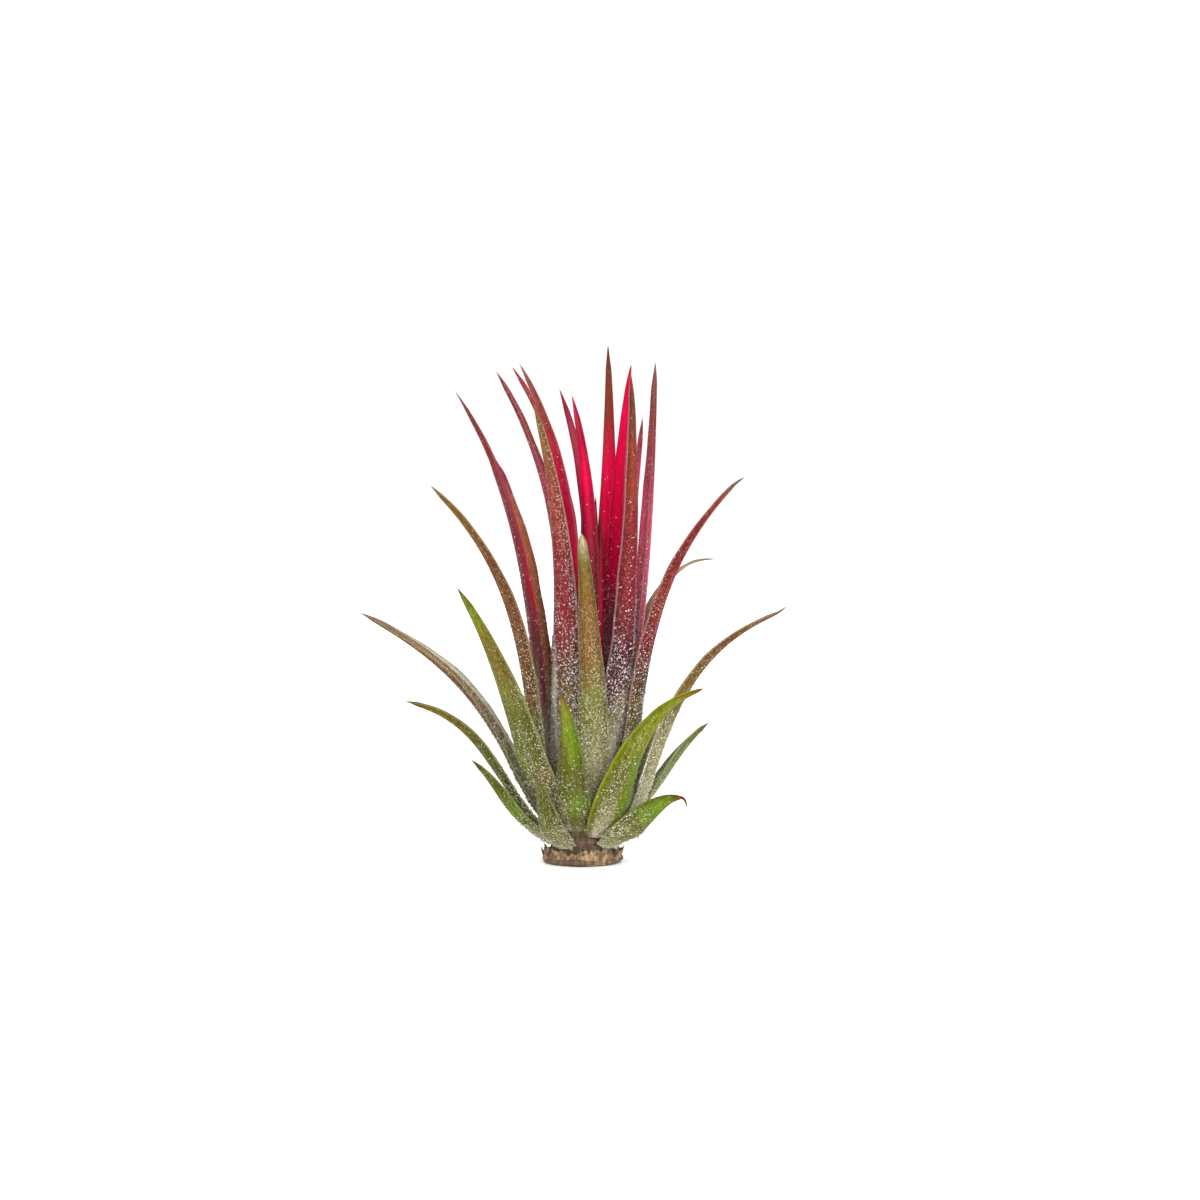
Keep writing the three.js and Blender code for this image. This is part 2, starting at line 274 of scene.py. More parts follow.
# The heart is the three youngest leaves, still upright and close together in the middle of the rosette.
# A leaf is one fleshy, channelled blade. It clasps the stem with a thin root, swells in the middle and
# tapers to a fine, dry tip. It grows out from the stem, bends up round the bulb and then leans off.
HEART_SHIFT = 1.0
SHIFT_FROM = 3
SHIFT_TO = 24
HEART_ROOT = 12.2
LAYER_DROP = 1.45
SEAT_GAP = 0.3
HOLD = 0.45
HOOK_BEND = 0.4
LINE_STEPS = 64
BULB = [(1.5, 19), (2.6, 18), (3.8, 16.5), (5.0, 15), (6.4, 12.5), (7.8, 10), (9.0, 7.6), (9.0, 5.4)]
ROOT_THICKNESS = 0.62
BLADE_THICKNESS = 1.0
TIP_THICKNESS = 0.36
THICKENS = (0.08, 0.45)
TIP_WIDTH = 0.34
POINT_LENGTH = 2.6
ROOT_WIDTH_SHARE = 0.36
ROOT_WIDTH_GAIN = 0.042
ROOT_REACH = 0.26
WIDTH_TAPER = 0.9
THICKNESS_TAPER = 0.55
POINT_TAPER = 0.6
ROLLED_LOSS = 0.5
ROLLED_START = 0.05
CHANNEL_SHARE = 0.5
CHANNEL_CENTRE = 0.3
CHANNEL_OPENS = (0.2, 0.6)
MARGIN_SHARPNESS = 1.35
EDGE_WAVE = 0.025
FACE_WAVE = 0.04
BLANK_SIDES = 20
BLANK_RINGS = 90
COLOURS = {
    # Silver is the real frosted colour of the leaf roots, made lighter still as painted light that lifts
    # the shade deep in the rosette.
    "silver": "#aaa791",
    "frosted": "#7c7752",
    "sage": "#5e5b26",
    "moss": "#4a4c12",
    "grass": "#55690a",
    "lime": "#64690e",
    "olive": "#5e4f16",
    "ochre": "#67471b",
    "umber": "#4a2b18",
    "bronze": "#5f371d",
    "russet": "#722a1e",
    "wine": "#68131c",
    "plum": "#3e131d",
    "rose": "#8a2a3e",
    # A lighter rose: painted light that lifts the shade on red leaves standing deep in the rosette.
    "blush": "#a85a64",
    "pink": "#b04058",
    "crimson": "#8e0228",
    "scarlet": "#bc0038",
    "mist": "#667040",
    # A bright orange-brown: painted light that lifts the shade on a leaf face turned away from the key
    # light.
    "copper": "#9c5a3c",
    "straw": "#96896a",
    "ash": "#5d493e",
}
SCALE_WHITE = "#e2d2cf"
SCALE_CREAM = "#d0ccac"
RED_SLOTS = ("leaf_crimson", "leaf_rose", "leaf_russet", "leaf_wine")
FACE_FROST = (0.5, 0.2, 0.05, 0, 0)
COLOUR_DRIFT = 0.16
FIBRE_SHARE = 0.75
MOTTLE_SHARE = 0.85
# How dark the painted shade gets at the margins, where a rounded leaf turns away from the light.
PAINTED_EDGE_SHADE = 0.62
ZONE_BLEND = 0.25
ZONE_SMOOTHING = 0.3
RIM_SHARE = 0.3
BLOOM = 0.08
HAZE = "#807d60"
SPECK_SHARE = 0.4
LIVING_ROUGHNESS = 0.4
FROST_ROUGHNESS = 0.3
GLOW = 0.3
GLOW_REACH = (1.0, 0.4, 0.25)
GLOW_DEPTH = 0.6
SHINE = 0.05


def select_points(test):
    """Selects, in edit mode, the vertices whose place passes the test."""
    mesh = bmesh.from_edit_mesh(bpy.context.edit_object.data)
    for vertex in mesh.verts:
        vertex.select_set(bool(test(vertex.co)))
    mesh.select_flush_mode()
    bmesh.update_edit_mesh(bpy.context.edit_object.data)


def leaf_blank():
    """A closed, straight tube, 1 long, with its root at the origin: every leaf is a copy of it."""
    bpy.ops.object.select_all(action="DESELECT")
    bpy.ops.mesh.primitive_cylinder_add(
        vertices=BLANK_SIDES,
        radius=1,
        depth=1,
        end_fill_type="NOTHING",
        location=(0.5, 0, 0),
        rotation=(0, math.pi / 2, 0),
    )
    blank = bpy.context.object
    blank.name = "leaf_blank"
    bpy.ops.object.transform_apply(location=True, rotation=True, scale=True)
    bpy.ops.object.mode_set(mode="EDIT")
    select_edges(lambda a, b: abs(a.x - b.x) > 0.5)
    bpy.ops.mesh.subdivide(number_cuts=BLANK_RINGS - 1)
    bpy.ops.mesh.select_mode(type="VERT")
    for end in (0, 1):
        bpy.ops.mesh.select_all(action="DESELECT")
        select_points(lambda place: abs(place.x - end) < 1e-4)
        bpy.ops.mesh.merge(type="CENTER")
    bpy.ops.object.mode_set(mode="OBJECT")
    return blank


def grid_order(mesh):
    """Where each point of the blank's rings is in its mesh, ring by ring and round each ring."""
    points = read_points(mesh)
    ring = np.rint(points[:, 0] * BLANK_RINGS).astype(int)
    angle = np.arctan2(-points[:, 2], -points[:, 1])
    side = np.rint(angle / (2 * math.pi) * BLANK_SIDES).astype(int) % BLANK_SIDES
    order = np.zeros((BLANK_RINGS + 1, BLANK_SIDES), dtype=int)
    order[ring, side] = np.arange(len(points))
    order[0, :] = np.flatnonzero(ring == 0)[0]
    order[-1, :] = np.flatnonzero(ring == BLANK_RINGS)[0]
    return order


def bulb_point(layer):
    below = min(int(layer), len(BULB) - 2)
    part = layer - below
    return [BULB[below][k] * (1 - part) + BULB[below + 1][k] * part for k in (0, 1)]


def leaf_line(row):
    """The handles of the leaf's line, with out, up and aside as X, Y and -Z, root first."""
    turn = math.radians(row["az"])

    def place(out, up, aside=0.0, shifted=True):
        shift = HEART_SHIFT * float(smooth(up, SHIFT_FROM, SHIFT_TO)) if shifted else 0.0
        return Vector((out + shift * math.sin(turn), up, -aside - shift * math.cos(turn)))

    lean = math.radians(row["lean"])
    bulb_aside, mid_aside, tip_aside = row.get("aside", (0, 0, 0))
    root_up = HEART_ROOT - LAYER_DROP * row["layer"]
    root_out = STEM_RADIUS - STEM_TAPER * root_up + SEAT_GAP + ROOT_THICKNESS / 2
    bulb_out, bulb_up = bulb_point(row["layer"])
    hold = row.get("hold", HOLD) * math.hypot(row["out"] - bulb_out, row["up"] - bulb_up)
    root = place(root_out, root_up, shifted=False)
    bulb = place(bulb_out, bulb_up, bulb_aside)
    middle = place(row["out"] - hold * math.sin(lean), row["up"] - hold * math.cos(lean), mid_aside)
    tip = place(row["out"], row["up"], tip_aside)
    handles = [root, bulb, middle, tip]
    if "hook" in row:
        length, hook_lean = row["hook"]
        hook_lean = math.radians(hook_lean)
        bent = tip + HOOK_BEND * length * Vector((math.sin(lean), math.cos(lean), 0))
        end = bent + (1 - HOOK_BEND) * length * Vector((math.sin(hook_lean), math.cos(hook_lean), 0))
        handles += [tip.lerp(bent, 2 / 3), end.lerp(bent, 2 / 3), end]
    return handles


def line_curve(handles):
    """A Bezier curve object through the handles."""
    bpy.ops.curve.primitive_bezier_curve_add()
    curve = bpy.context.object
    curve.data.twist_mode = "Z_UP"
    curve.data.resolution_u = 48
    spline = curve.data.splines[0]
    knots = handles[::3]
    spline.bezier_points.add(len(knots) - len(spline.bezier_points))
    for k, (point, knot) in enumerate(zip(spline.bezier_points, knots)):
        before = handles[3 * k - 1] if k else knot - (handles[1] - knot)
        after = handles[3 * k + 1] if 3 * k + 1 < len(handles) else knot + (knot - before)
        point.handle_left_type = point.handle_right_type = "FREE"
        point.co, point.handle_left, point.handle_right = knot, before, after
    return curve


def polyline(handles):
    starts = range(0, len(handles) - 1, 3)
    pieces = [geometry.interpolate_bezier(*handles[k:k + 4], LINE_STEPS) for k in starts]
    return np.array([list(point) for piece in pieces for point in piece])


def shape_blade(mesh, row, handles):
    """Gives the copied blank the leaf's length, widths, thickness and channel, still straight."""
    line = polyline(handles)
    steps = np.linalg.norm(np.diff(line, axis=0), axis=1)
    reached = np.concatenate([[0], np.cumsum(steps)])
    length = reached[-1]
    hook = length - reached[-LINE_STEPS] if "hook" in row else 0.0
    points = read_points(mesh)
    share = points[:, 0]
    outward, across = -points[:, 1], -points[:, 2]
    blade = np.minimum(1, share / (1 - hook / length))
    root_share = ROOT_WIDTH_SHARE + ROOT_WIDTH_GAIN * row["layer"]
    full = row["width"] * (root_share + (1 - root_share) * smooth(blade, 0, ROOT_REACH))
    tip_width = row.get("blunt", TIP_WIDTH)
    half = (tip_width + (full - tip_width) * (1 - blade) ** WIDTH_TAPER) / 2
    if "rolled" in row:
        half *= 1 - ROLLED_LOSS * smooth(blade, row["rolled"] - ROLLED_START, row["rolled"])
    thick = ROOT_THICKNESS + (BLADE_THICKNESS - ROOT_THICKNESS) * smooth(blade, *THICKENS)
    thick = TIP_THICKNESS + (thick - TIP_THICKNESS) * (1 - blade) ** THICKNESS_TAPER
    point_length = min(hook, POINT_LENGTH) or POINT_LENGTH * TIP_WIDTH / tip_width
    half *= np.clip((1 - share) * length / point_length, 0, 1) ** POINT_TAPER
    thick = np.minimum(thick, 2 * half)
    from_axis = np.interp(share * length, reached, np.hypot(line[:, 0], line[:, 2]))
    clasping = half ** 2 / (2 * from_axis)
    free = smooth(share, *CHANNEL_OPENS)
    channel = np.minimum(clasping, CHANNEL_SHARE * half) * (1 - free) + CHANNEL_SHARE * half * free
    wave = np.sin(share * length * 0.55 + row["seed"] * 2.1)
    wave = wave + 0.5 * np.sin(share * length * 1.3 + row["seed"])
    half_here = half * (1 + EDGE_WAVE * wave * np.sign(across))
    lens = np.sign(outward) * np.abs(outward) ** MARGIN_SHARPNESS * thick / 2
    ripple = FACE_WAVE * wave * across ** 2 * smooth(share, 0.1, 0.4)
    offset = lens - channel * (across ** 2 - CHANNEL_CENTRE) + ripple
    flags = {"along": share, "across": across, "back": 0.5 + 0.5 * outward, "paper": 0 * share}
    for name, values in flags.items():
        mesh.attributes.new(name, "FLOAT", "POINT").data.foreach_set("value", values)
    skin = np.column_stack([across * half, share * length, np.sign(outward) * 3 + row["seed"] * 11])
    mesh.attributes.new("skin", "FLOAT_VECTOR", "POINT").data.foreach_set("vector", skin.ravel())
    roll = math.radians(row.get("roll", 0)) * share
    aside = across * half_here * np.cos(roll) + offset * np.sin(roll)
    outside = offset * np.cos(roll) - across * half_here * np.sin(roll)
    write_points(mesh, np.column_stack([share * length, -outside, -aside]))
    order = np.argsort(share)
    return lambda place: np.interp(place, share[order], half[order])


def even_stops(names):
    words = names.split()
    return [(k / (len(words) - 1), linear(COLOURS[word])) for k, word in enumerate(words)]


def grey(value):
    return (value, value, value, 1)


def even_greys(amounts):
    return [(k / (len(amounts) - 1), grey(amount)) for k, amount in enumerate(amounts)]


def leaf_skin(row):
    """The leaf's skin: its own colours from root to tip on the back and on the face, fine lengthwise
    fibres, a rim of its own colour, and a silvery bloom that thins out towards the tip. On the scales,
    where paper is above 0, the same colours show through white."""
    nodes = Nodes("skin_" + row["name"])
    along = nodes.attribute("along")
    signed = nodes.attribute("across")
    across = nodes.math("ABSOLUTE", signed)
    back = nodes.step(nodes.attribute("back"), 0.42, 0.58)
    paper = nodes.attribute("paper")
    skin = nodes.attribute("skin", "Vector")
    drift = nodes.math("SUBTRACT", nodes.noise(skin, (0.5, 0.16, 1), 2), 0.5)
    shifted = nodes.math("ADD", along, nodes.math("MULTIPLY", drift, COLOUR_DRIFT))
    outside = nodes.ramp(shifted, even_stops(row["back"]))
    inside = nodes.ramp(shifted, even_stops(row["face"]))
    colour = nodes.mix(back, inside, outside)
    frost = nodes.ramp(along, even_greys(row["frost"]))
    face_frost = nodes.ramp(along, even_greys(row.get("face_frost", FACE_FROST)))
    frost = nodes.mix(back, face_frost, frost)
    fibres = nodes.noise(skin, (7, 0.35, 1), 3)
    fibre_tones = nodes.ramp(fibres, [(0.3, grey(0.5)), (0.7, grey(1.4))])
    mottle = nodes.noise(skin, (3.6, 1.5, 1), 5)
    mottle_tones = nodes.ramp(mottle, [(0.34, grey(0.5)), (0.66, grey(1.45))])
    grain = nodes.math("ADD", nodes.math("MULTIPLY", frost, 1.2), 0.3, True)
    for surface, hand, edge, words, frost_share in row.get("zones", ()):
        zone = nodes.step(nodes.math("MULTIPLY", signed, hand), edge, edge + ZONE_BLEND)
        here = back if surface == "back" else nodes.math("SUBTRACT", 1.0, back)
        zone = nodes.math("MULTIPLY", zone, here)
        colour = nodes.mix(zone, colour, nodes.ramp(shifted, even_stops(words)))
        frost = nodes.mix(zone, frost, nodes.math("MULTIPLY", frost, frost_share))
        kept = nodes.math("SUBTRACT", 1.0, nodes.math("MULTIPLY", zone, ZONE_SMOOTHING))
        grain = nodes.math("MULTIPLY", grain, kept)
    colour = nodes.mix(nodes.math("MULTIPLY", grain, FIBRE_SHARE), colour, fibre_tones, "MULTIPLY")
    colour = nodes.mix(nodes.math("MULTIPLY", grain, MOTTLE_SHARE), colour, mottle_tones, "MULTIPLY")
    # Painted shade: the colour darkens towards both margins, as if the rounded leaf turned away from the
    # light there.
    colour = nodes.mix(nodes.step(across, 0.35, 1.0), colour, grey(PAINTED_EDGE_SHADE), "MULTIPLY")
    rim = nodes.math("MULTIPLY", nodes.step(across, 0.88, 1.0), row.get("rim_share", RIM_SHARE))
    colour = nodes.mix(rim, colour, linear(row["rim"]))
    patches = nodes.noise(skin, (0.9, 0.4, 1), 3)
    frost = nodes.math("MULTIPLY", frost, nodes.step(patches, 0.25, 0.6))
    specks = nodes.cells(skin, (6.5, 3.6, 1))
    specks = nodes.math("MULTIPLY", nodes.step(specks, 0.5, 0.15), frost)
    bloom = nodes.math("MULTIPLY", frost, row.get("bloom", BLOOM))
    colour = nodes.mix(bloom, colour, linear(row.get("haze", HAZE)))
    white = linear(SCALE_WHITE if row["slot"] in RED_SLOTS else SCALE_CREAM)
    colour = nodes.mix(nodes.math("MULTIPLY", specks, SPECK_SHARE), colour, white)
    colour = nodes.mix(paper, colour, white)
    nodes.feed(nodes.shader.inputs["Base Color"], colour)
    rough = nodes.math("ADD", nodes.math("MULTIPLY", frost, FROST_ROUGHNESS), LIVING_ROUGHNESS)
    rough = nodes.math("ADD", rough, nodes.math("MULTIPLY", paper, FROST_ROUGHNESS))
    nodes.feed(nodes.shader.inputs["Roughness"], rough)
    ribs = nodes.bump(fibres, 0.06 * MM, 0.6)
    nodes.feed(nodes.shader.inputs["Normal"], nodes.bump(specks, 0.05 * MM, 0.7, ribs))
    nodes.shader.inputs["Subsurface Weight"].default_value = GLOW
    nodes.shader.inputs["Subsurface Radius"].default_value = GLOW_REACH
    nodes.shader.inputs["Subsurface Scale"].default_value = GLOW_DEPTH * MM
    nodes.shader.inputs["Specular IOR Level"].default_value = SHINE
    return nodes.material


def grow(name, slot, **row):
    """Copies the blank, shapes it, bends it along its line, and sets it in its place on the plant.

    az is the leaf's direction in degrees, from the front towards the right, and layer its place on the
    stem, from 0 at the heart to 7 at the foot. out and up say where the blade ends, lean how far it leans
    there, hold how long it has leaned so, and aside how far its line runs to one side at the bulb, in the
    middle and at the end. hook is the length and lean of a thin end past that, roll a twist in degrees,
    rolled where the margins roll in, and blunt the width of a broad tip. back and face are colours and
    frost and face_frost are amounts of scales, all from root to tip. rim is the margin's colour, and haze
    and bloom the colour and strength of the film. A zone is one half of a side with colours of its own:
    the side, the hand, where it starts, its colours and its share of scales.
    """
    row.update(name=name, slot=slot, seed=len(grown) + 1)
    leaf = blank.copy()
    leaf.data = blank.data.copy()
    leaf.name = leaf.data.name = name
    bpy.context.collection.objects.link(leaf)
    handles = leaf_line(row)
    half_width = shape_blade(leaf.data, row, handles)
    bpy.ops.object.select_all(action="DESELECT")
    curve = line_curve(handles)
    bend = leaf.modifiers.new("bend", "CURVE")
    bend.object = curve
    bend.deform_axis = "POS_X"
    bpy.ops.object.select_all(action="DESELECT")
    bpy.context.view_layer.objects.active = leaf
    leaf.select_set(True)
    bpy.ops.object.modifier_apply(modifier="bend")
    bpy.ops.object.shade_smooth()
    bpy.data.objects.remove(curve)
    turn = math.radians(row["az"])
    radial = Vector((math.sin(turn), -math.cos(turn), 0))
    sideways = Vector((math.cos(turn), math.sin(turn), 0))
    stand = Matrix((radial, (0, 0, 1), -sideways)).transposed().to_4x4()
    leaf.data.transform(Matrix.Scale(MM, 4) @ stand)
    leaf.data.materials.append(leaf_skin(row))
    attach(leaf, "root")
    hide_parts("leaf_" + name)
    grown.append((leaf, row, half_width))


grown = []
blank = leaf_blank()
blank_order = grid_order(blank.data)
heart_skin = {
    "back": "lime wine crimson crimson crimson wine plum",
    "face": "lime rose crimson scarlet crimson plum",
    "frost": (0.3, 0.2, 0.1, 0.05, 0),
    "rim": "#b0405a",
}
grow(
    "heart_left", "leaf_crimson", az=-106, layer=0, out=1.7, up=34.5, lean=4, width=2.3, **heart_skin
)
grow(
    "heart_right", "leaf_crimson", az=40, layer=0.2, out=1.4, up=37.2, lean=0, width=2.4, **heart_skin
)
grow(
    "heart_rear", "leaf_crimson", az=160, layer=0.2, out=1.3, up=38.9, lean=2, width=2.3, **heart_skin
)


# The upright leaves stand round the heart. They are the showiest: light turns them crimson and rose,
# their smooth channels stay free of scales, and their backs keep a brown-red skin with silver scales.
grow(
    "upright_centre", "leaf_crimson", az=-30, layer=1.2, out=3.8, up=49.6, lean=18, width=4.4,
    aside=(0.3, 1.15, -0.2),
    back="frosted frosted plum wine wine wine crimson scarlet crimson rose",
    face="frosted rose scarlet scarlet scarlet rose", frost=(0.8, 0.6, 0.2, 0.04, 0.02, 0.02),
    rim="#c84a5c",
)
grow(
    "upright_centre_rear", "leaf_rose", az=-174, layer=1.7, out=4.9, up=50.3, lean=12, width=3.4,
    aside=(-1.0, -1.9, 2.95),
    back="frosted plum wine russet rose rose wine", face="lime rose crimson scarlet crimson rose wine",
    frost=(0.7, 0.6, 0.5, 0.4, 0.3, 0.1), rim="#c84a5c",
)
# The lighter rose low in its middle is painted light that lifts the shade deep in the rosette.
grow(
    "upright_rear_crimson", "leaf_crimson", az=106, layer=1.8, out=4.4, up=52.9, lean=8, width=4.9,
    roll=34,
    back="silver silver blush rose scarlet scarlet scarlet scarlet crimson",
    face="silver silver blush rose scarlet scarlet scarlet scarlet crimson",
    frost=(0.9, 0.8, 0.5, 0.15, 0.03, 0.02), face_frost=(0.9, 0.9, 0.6, 0.15, 0.02, 0, 0), rim="#d8506a",
)
grow(
    "upright_left_crimson", "leaf_crimson", az=-114, layer=1.8, out=9.3, up=52.6, lean=36, width=3.9,
    hold=0.5, aside=(-0.9, -1.9, 0),
    back="frosted plum wine wine russet russet ash",
    face="lime rose crimson crimson scarlet scarlet wine",
    frost=(0.7, 0.6, 0.5, 0.4, 0.3, 0.1), face_frost=(0.5, 0.3, 0.12, 0.02, 0, 0), rim="#c04a5c",
)
grow(
    "upright_left_tall", "leaf_russet", az=-57, layer=2.5, out=8.9, up=52.8, lean=32, width=4.2, hold=0.5,
    aside=(0.8, 1.2, 0),
    back="silver frosted plum crimson scarlet crimson crimson russet ash",
    face="lime rose crimson scarlet scarlet crimson", frost=(0.8, 0.5, 0.25, 0.08, 0.05, 0.1, 0.1),
    rim="#c8566a",
)
grow(
    "upright_left_outer", "leaf_wine", az=-94, layer=3.3, out=10.1, up=52.1, lean=32, width=4.6, hold=0.6,
    aside=(0.3, 0.8, 0), roll=-14,
    back="silver silver frosted wine wine rose russet wine", face="lime rose wine rose rose russet wine",
    frost=(0.9, 0.8, 0.5, 0.35, 0.25, 0.2, 0.1), face_frost=(0.6, 0.5, 0.3, 0.2, 0.1, 0.1), rim="#c0667a",
    haze="#b89098",
)
grow(
    "upright_front_left", "leaf_russet", az=-34, layer=3.3, out=10.6, up=48.5, lean=28, width=5.2,
    hold=0.5,
    back="silver silver sage umber wine wine wine russet russet ochre olive",
    face="lime rose wine crimson crimson rose", frost=(1, 1, 0.75, 0.5, 0.4, 0.35, 0.3, 0.15),
    rim="#d8b0a8",
    zones=[
        ("back", -1, 0.3, "silver silver silver silver wine wine wine russet russet ochre olive", 1.5),
        ("back", 1, 0.5, "silver silver sage umber wine wine wine russet russet ochre olive", 2),
    ],
)
grow(
    "upright_front_right", "leaf_russet", az=36, layer=3.4, out=7.2, up=52.1, lean=2, width=4.4,
    aside=(0.2, 1.5, -0.2),
    back="silver silver frosted plum plum wine wine wine russet russet umber russet",
    face="lime rose wine crimson scarlet crimson", frost=(1, 1, 0.8, 0.3, 0.15, 0.12, 0.1, 0.08),
    rim="#d0a0a0",
    zones=[
        ("back", 1, 0.6, "silver silver frosted plum rose blush blush blush rose russet umber russet", 3)
    ],
)
# Most of this leaf stands in shade; the lighter rose on it is painted light that lifts that shade.
grow(
    "upright_right", "leaf_rose", az=97, layer=3.1, out=6.8, up=53.1, lean=2, width=4.8, roll=20,
    back="silver silver blush pink pink pink rose russet ash",
    face="silver silver blush pink pink pink rose russet wine",
    frost=(0.9, 0.8, 0.4, 0.25, 0.2, 0.15, 0.1), face_frost=(0.7, 0.6, 0.4, 0.3, 0.15, 0.1),
    rim="#a05a66", haze="#b89098",
    zones=[("face", -1, 0.3, "silver silver silver blush blush rose rose russet ash", 1.6)],
)
grow(
    "upright_right_short", "leaf_rose", az=66, layer=2.3, out=5.9, up=47.2, lean=8, width=3.6,
    back="frosted plum rose rose pink rose wine", face="lime rose rose crimson crimson rose wine",
    frost=(0.9, 0.8, 0.6, 0.4, 0.3, 0.2), rim="#d08a94",
)
grow(
    "upright_rear_tall", "leaf_wine", az=162, layer=2.8, out=5.7, up=55, lean=-3, width=4.3,
    aside=(0, -0.4, 0),
    back="frosted plum wine wine russet russet umber",
    face="frosted rose crimson crimson scarlet scarlet russet umber",
    frost=(0.9, 0.8, 0.7, 0.6, 0.4, 0.2), face_frost=(0.6, 0.5, 0.25, 0.05, 0.03, 0.05),
    rim="#c06070",
)
grow(
    "upright_rear", "leaf_wine", az=-156, layer=3.6, out=9.6, up=45, lean=20, width=4.8,
    back="silver frosted plum wine wine russet umber", face="lime rose wine crimson crimson russet wine",
    frost=(1, 1, 0.8, 0.6, 0.4, 0.2), face_frost=(0.5, 0.3, 0.2, 0.1, 0.1, 0.08), rim="#c06070",
)


# The leaning leaves are a little older and lean out in the upper half. They are turning from red to
# bronze, their tips have started to dry, and two on the right have ends as thin as a thread.
# Its face turns away from the key light and sits deep in the rosette; the pale straw and bright
# orange-brown on it are painted light that lifts that shade.
grow(
    "leaning_left_red", "leaf_wine", az=-113, layer=4.1, out=16.0, up=50.1, lean=37, width=6.6, hold=0.52,
    aside=(-0.5, 0, 0), rolled=0.82,
    back="silver frosted umber wine wine wine russet russet ash",
    face="silver straw straw copper copper copper copper rose russet ash",
    frost=(1, 1, 0.7, 0.4, 0.2, 0.15, 0.15, 0.1), face_frost=(0.9, 0.6, 0.3, 0.12, 0.08, 0.08),
    rim="#6a1a2c", rim_share=0.6,
    zones=[
        ("face", 1, -0.35, "silver silver rose rose scarlet rose rose russet ash", 0.4),
        ("face", 1, 0.15, "silver silver straw umber crimson crimson russet russet ash", 0.6),
    ],
)
grow(
    "leaning_left_bronze", "leaf_bronze", az=-70, layer=4.8, out=17.8, up=40.2, lean=49, width=5.2,
    hold=0.6,
    back="silver frosted sage bronze bronze bronze bronze ochre olive",
    face="silver frosted olive ochre bronze ash", frost=(1, 1, 0.85, 0.55, 0.35, 0.25, 0.2, 0.1),
    rim="#b09a70",
)
grow(
    "leaning_front", "leaf_bronze", az=0, layer=4.4, out=8.6, up=35.3, lean=14, width=4.4,
    aside=(1.7, -0.2, -1.0), blunt=0.8,
    back="silver frosted frosted sage sage ochre ochre ochre olive straw",
    face="silver frosted olive ochre straw", frost=(1, 1, 1, 0.85, 0.6, 0.35, 0.25, 0.3), rim="#b8ae80",
)
grow(
    "leaning_right_red", "leaf_russet", az=70, layer=4.8, out=15.6, up=40.1, lean=46, width=5.5, hold=0.6,
    hook=(1.7, 62),
    back="silver frosted sage umber wine russet wine russet ash",
    face="silver frosted olive bronze russet ash", frost=(1, 1, 0.8, 0.6, 0.4, 0.25, 0.15, 0.1),
    rim="#b87a6a",
)
grow(
    "leaning_right_dry", "leaf_bronze", az=122, layer=4.7, out=12.0, up=31.3, lean=64, width=4.4, hold=0.5,
    hook=(4.0, 94),
    back="silver frosted frosted sage ochre ash straw straw ash",
    face="silver frosted frosted sage ochre ash straw straw ash",
    frost=(1, 1, 1, 0.8, 0.5, 0.3, 0.1, 0), face_frost=(1, 0.9, 0.7, 0.5, 0.3, 0.1, 0), rim="#b0a080",
)
grow(
    "leaning_rear", "leaf_russet", az=-178, layer=4.5, out=13.5, up=38.5, lean=30, width=5.0,
    back="sage moss olive wine wine russet russet ash", face="sage olive ochre bronze russet ash",
    frost=(1, 1, 0.85, 0.6, 0.4, 0.3, 0.1), rim="#b87a6a",
)
grow(
    "leaning_rear_left", "leaf_bronze", az=-132, layer=4.8, out=9.4, up=29, lean=24, width=4.8,
    back="sage sage moss olive bronze bronze umber ash", face="sage olive ochre ochre bronze ash",
    frost=(1, 1, 0.9, 0.7, 0.5, 0.3, 0.1), rim="#b09a70",
)
grow(
    "leaning_rear_right", "leaf_olive", az=152, layer=5.1, out=9.4, up=26, lean=30, width=4.6,
    back="sage sage moss olive olive ochre bronze ash", face="sage olive ochre ochre bronze ash",
    frost=(1, 1, 0.9, 0.7, 0.5, 0.3, 0.1), rim="#b09a70",
)


# The arching leaves bend out low down and spread the rosette. They are thick and firm, and they stand
# in the shade of the upper ones, so they stay green, olive and bronze.
grow(
    "arching_left", "leaf_olive", az=-97, layer=5.65, out=25, up=26.4, lean=65, width=5.0, hold=0.79,
    roll=-20,
    back="silver frosted sage olive bronze bronze ochre olive ash",
    face="silver frosted sage bronze ochre ochre bronze ash", frost=(1, 1, 0.9, 0.6, 0.4, 0.3, 0.2, 0.1),
    face_frost=(1, 0.9, 0.8, 0.6, 0.45, 0.3, 0.15), rim="#b4ac84",
    zones=[("face", -1, 0.2, "silver silver silver silver silver silver straw ash", 1.3)],
)
grow(
    "arching_left_broad", "leaf_olive", az=-48, layer=5.3, out=18.5, up=30.0, lean=37, width=6.6,
    hold=0.48, aside=(0.2, 0.9, 0),
    back="silver frosted olive moss moss sage olive olive lime moss",
    face="silver frosted sage olive olive umber", frost=(1, 1, 0.85, 0.5, 0.35, 0.3, 0.25, 0.1),
    rim="#a8a870", zones=[("back", -1, 0.05, "frosted moss grass moss grass grass lime lime", 0.6)],
)
grow(
    "arching_right", "leaf_olive", az=74, layer=6.5, out=19.9, up=26.8, lean=68, width=5.1, hold=0.66,
    hook=(1.6, 50),
    back="silver silver frosted frosted olive ochre bronze ochre ash",
    face="sage sage olive ochre bronze ash", frost=(1, 1, 1, 0.9, 0.7, 0.5, 0.3, 0.15),
    face_frost=(1, 0.9, 0.7, 0.5, 0.3, 0.1), rim="#b4ac84",
)
